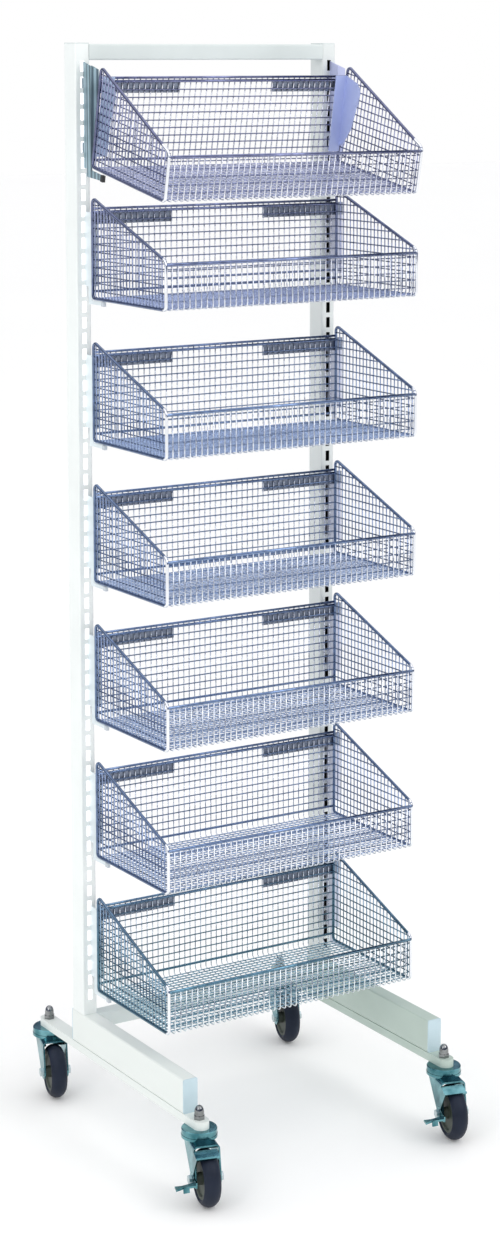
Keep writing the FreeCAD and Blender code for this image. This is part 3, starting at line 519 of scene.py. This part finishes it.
def long_wires():
    """Fine wires bent down the front, along the floor and up the back."""
    wires = WireMesh()
    front = LOOP_FRONT - FINE_RADIUS
    back = LOOP_BACK + FINE_RADIUS
    floor = LOOP_BOTTOM - FINE_RADIUS
    for x in spaced(-LOOP_X, LOOP_X, CELLS_WIDE)[1:-1]:
        corners = [
            Vector((x, front, FRONT_RAIL_HEIGHT)),
            Vector((x, front, floor)),
            Vector((x, back, floor)),
            Vector((x, back, BACK_RAIL_HEIGHT)),
        ]
        wires.add(rounded_path(corners, MESH_BEND), FINE_RADIUS)
    return wires


def cross_wires():
    """Fine wires bent down one side, across the floor and up the other side."""
    wires = WireMesh()
    reach = LOOP_X + FINE_RADIUS
    floor = LOOP_BOTTOM + FINE_RADIUS
    for y in spaced(LOOP_FRONT, LOOP_BACK, CELLS_DEEP)[1:-1]:
        top = slope_height(y)
        corners = [
            Vector((-reach, y, top)),
            Vector((-reach, y, floor)),
            Vector((reach, y, floor)),
            Vector((reach, y, top)),
        ]
        wires.add(rounded_path(corners, MESH_BEND), FINE_RADIUS)
    return wires


def level_wires():
    """Fine level wires: rings below the front rail, open in front above it, the top one on the sides."""
    wires = WireMesh()
    reach = LOOP_X - FINE_RADIUS
    back = LOOP_BACK - FINE_RADIUS
    rise = (LOOP_FRONT_TOP - LOOP_BOTTOM) / CELLS_FRONT
    for level in range(1, CELLS_BACK + 1):
        z = LOOP_BOTTOM + level * rise
        ring = level < CELLS_FRONT
        front = LOOP_FRONT + FINE_RADIUS if ring else slope_front(z)
        left = [Vector((-reach, front, z)), Vector((-reach, back, z))]
        right = [Vector((reach, front, z)), Vector((reach, back, z))]
        if level < CELLS_BACK:
            path = rounded_path(left + right[::-1], MESH_BEND, closed=ring)
            wires.add(path, FINE_RADIUS, closed=ring)
        else:
            wires.add(left, FINE_RADIUS)
            wires.add(right, FINE_RADIUS)
    return wires


def side_loops():
    """Closed loops of heavy wire round the two sides."""
    wires = WireMesh()
    for side in (-1, 1):
        x = side * LOOP_X
        corners = [
            Vector((x, LOOP_BACK, LOOP_BOTTOM)),
            Vector((x, LOOP_BACK, LOOP_PEAK)),
            Vector((x, LOOP_FRONT, LOOP_FRONT_TOP)),
            Vector((x, LOOP_FRONT, LOOP_BOTTOM)),
        ]
        path = rounded_path(corners, LOOP_BENDS, LOOP_BEND_STEPS, True)
        wires.add(path, HEAVY_RADIUS, LOOP_SIDES, True)
    return wires


def cross_rails():
    """Front rail, double back rail and lower back rail."""
    wires = WireMesh()
    reach = LOOP_X - RAIL_END_GAP
    rails = (
        (LOOP_FRONT, FRONT_RAIL_HEIGHT, HEAVY_RADIUS),
        (LOOP_BACK, BACK_RAIL_HEIGHT, RAIL_RADIUS),
        (LOOP_BACK, BACK_RAIL_HEIGHT - BACK_RAIL_GAP, RAIL_RADIUS),
        (LOOP_BACK, LOWER_RAIL_HEIGHT, RAIL_RADIUS),
    )
    for y, z, radius in rails:
        wires.add([Vector((-reach, y, z)), Vector((reach, y, z))], radius, RAIL_SIDES)
    return wires


def basket_matrix(number):
    """Place of a basket; basket 1 leans forward about its lower rear wire."""
    if number > 1:
        low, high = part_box(f"basket_{number}_frame")
        return Matrix.Translation(Vector(((low.x + high.x) / 2, high.y, low.z)))
    hinge = joints["basket_1_tilt"]
    lean = Matrix.Rotation(math.radians(-hinge["range_deg"][0]), 4, "X")
    pivot = Vector((0, LOOP_BACK, LOWER_RAIL_HEIGHT))
    low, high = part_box("basket_1_frame")
    place = Vector(((low.x + high.x) / 2, hinge["pos_m"][1], hinge["pos_m"][2]))
    return Matrix.Translation(place) @ lean @ Matrix.Translation(-pivot)


def add_baskets(materials):
    """Round-wire baskets in place of the plain CAD ones."""
    makers = {
        "long_wires": (long_wires(), "long_wire_painted_light", "mesh"),
        "cross_wires": (cross_wires(), "basket_wire", "mesh"),
        "level_wires": (level_wires(), "level_wire_painted_shade", "mesh"),
        "side_loops": (side_loops(), "loop_zinc_with_painted_highlight", "frame"),
        "cross_rails": (cross_rails(), "basket_rail", "frame"),
    }
    for number in range(1, BASKET_COUNT + 1):
        matrix = basket_matrix(number)
        for part, (wires, finish, stands_for) in makers.items():
            piece = wires.make(f"basket_{number}_{part}", materials[finish], matrix)
            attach(piece, f"basket_{number}")
            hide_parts(f"basket_{number}_{stands_for}")


# ---------------------------------------------------------------- CAD nodes

NODE_FINISH = {
    "left_tilt_bracket": "bracket_zinc",
    "right_tilt_bracket": "bracket_zinc",
    "basket_1_wings": "wing_zinc",
    "left_upright": "left_upright_paint_and_painted_light",
    "right_upright": "right_upright_paint_and_painted_shade",
}


def dress_nodes(materials):
    """Finish and softened edges for the CAD pieces that stay."""
    for entry in frame["record"]["subparts"]:
        piece = nodes[entry["node"]]
        piece.data.materials.clear()
        finish = entry["material_slot"]
        piece.data.materials.append(materials[NODE_FINISH.get(entry["node"], finish)])
        if piece.hide_render:
            continue
        bevel = piece.modifiers.new("soft_edges", "BEVEL")
        bevel.width = EDGE_SOFTNESS
        bevel.segments = 2
        bevel.limit_method = "ANGLE"
        bevel.angle_limit = math.radians(EDGE_ANGLE)
        bevel.harden_normals = True


# ---------------------------------------------------------------- studio

WALL_LOW = (0.10, 0.13, 0.22)
CEILING = (1.3, 1.3, 1.35)
WALL_TOP = 0.28
CEILING_FROM = 0.75
FLOOR_REACH = 30.0
FLOOR_GAP = 0.1 * MM
FLOOR_GLOW = 0.02
AIM_HEIGHT = 0.9
KEY_PLACE = (1.6, -3.2, 3.0)
KEY_SIZE = (1.6, 1.6)
KEY_POWER = 26
FILL_PLACE = (-3.0, -1.5, 2.2)
FILL_SIZE = (0.7, 2.4)
FILL_POWER = 16


def add_floor():
    """Large pale floor."""
    mesh = bpy.data.meshes.new("floor")
    reach = FLOOR_REACH
    z = RACK_FLOOR - FLOOR_GAP
    corners = [(-reach, -reach, z), (reach, -reach, z), (reach, reach, z), (-reach, reach, z)]
    mesh.from_pydata(corners, [], [(0, 1, 2, 3)])
    material, tree, shader = new_material("floor_paint")
    tone = noise(tree, 0.6, 2.0)
    white = ramp(tree, tone, (0.985, 0.985, 0.985), (0.995, 0.995, 0.995))
    tree.links.new(white, shader.inputs["Base Color"])
    shader.inputs["Roughness"].default_value = 0.7
    shader.inputs["Specular IOR Level"].default_value = 0.1
    shader.inputs["Emission Color"].default_value = (1, 1, 1, 1)
    shader.inputs["Emission Strength"].default_value = FLOOR_GLOW
    mesh.materials.append(material)
    floor = bpy.data.objects.new("floor", mesh)
    bpy.context.scene.collection.objects.link(floor)


def add_softbox(name, location, target, size, power):
    """Rectangular soft light aimed at a point."""
    data = bpy.data.lights.new(name, "AREA")
    data.shape = "RECTANGLE"
    data.size, data.size_y = size
    data.energy = power
    light = bpy.data.objects.new(name, data)
    light.location = location
    light.rotation_euler = (Vector(target) - Vector(location)).to_track_quat("-Z", "Y").to_euler()
    bpy.context.scene.collection.objects.link(light)


def add_studio():
    """White room; in reflections it has dark walls below a bright ceiling, as a tent with flags."""
    world = bpy.data.worlds.new("studio")
    bpy.context.scene.world = world
    world.use_nodes = True
    tree = world.node_tree
    background = tree.nodes["Background"]
    coordinates = tree.nodes.new("ShaderNodeTexCoord")
    split = tree.nodes.new("ShaderNodeSeparateXYZ")
    tree.links.new(coordinates.outputs["Generated"], split.inputs["Vector"])
    stops = ((0.0, WALL_LOW), (WALL_TOP, WALL_LOW), (CEILING_FROM, CEILING))
    walls = bands(tree, split.outputs["Z"], stops)
    rays = tree.nodes.new("ShaderNodeLightPath")
    seen = mixed(tree, rays.outputs["Is Glossy Ray"], (1.0, 1.0, 1.0), walls)
    tree.links.new(seen, background.inputs["Color"])
    background.inputs["Strength"].default_value = 1.0
    middle = (RACK_MIDDLE, RACK_FRONT, AIM_HEIGHT)
    add_softbox("key", KEY_PLACE, middle, KEY_SIZE, KEY_POWER)
    add_softbox("fill", FILL_PLACE, middle, FILL_SIZE, FILL_POWER)
    bpy.context.scene.view_settings.view_transform = "Standard"


add_camera()
finishes = make_materials()
add_baskets(finishes)
dress_nodes(finishes)
add_floor()
add_studio()
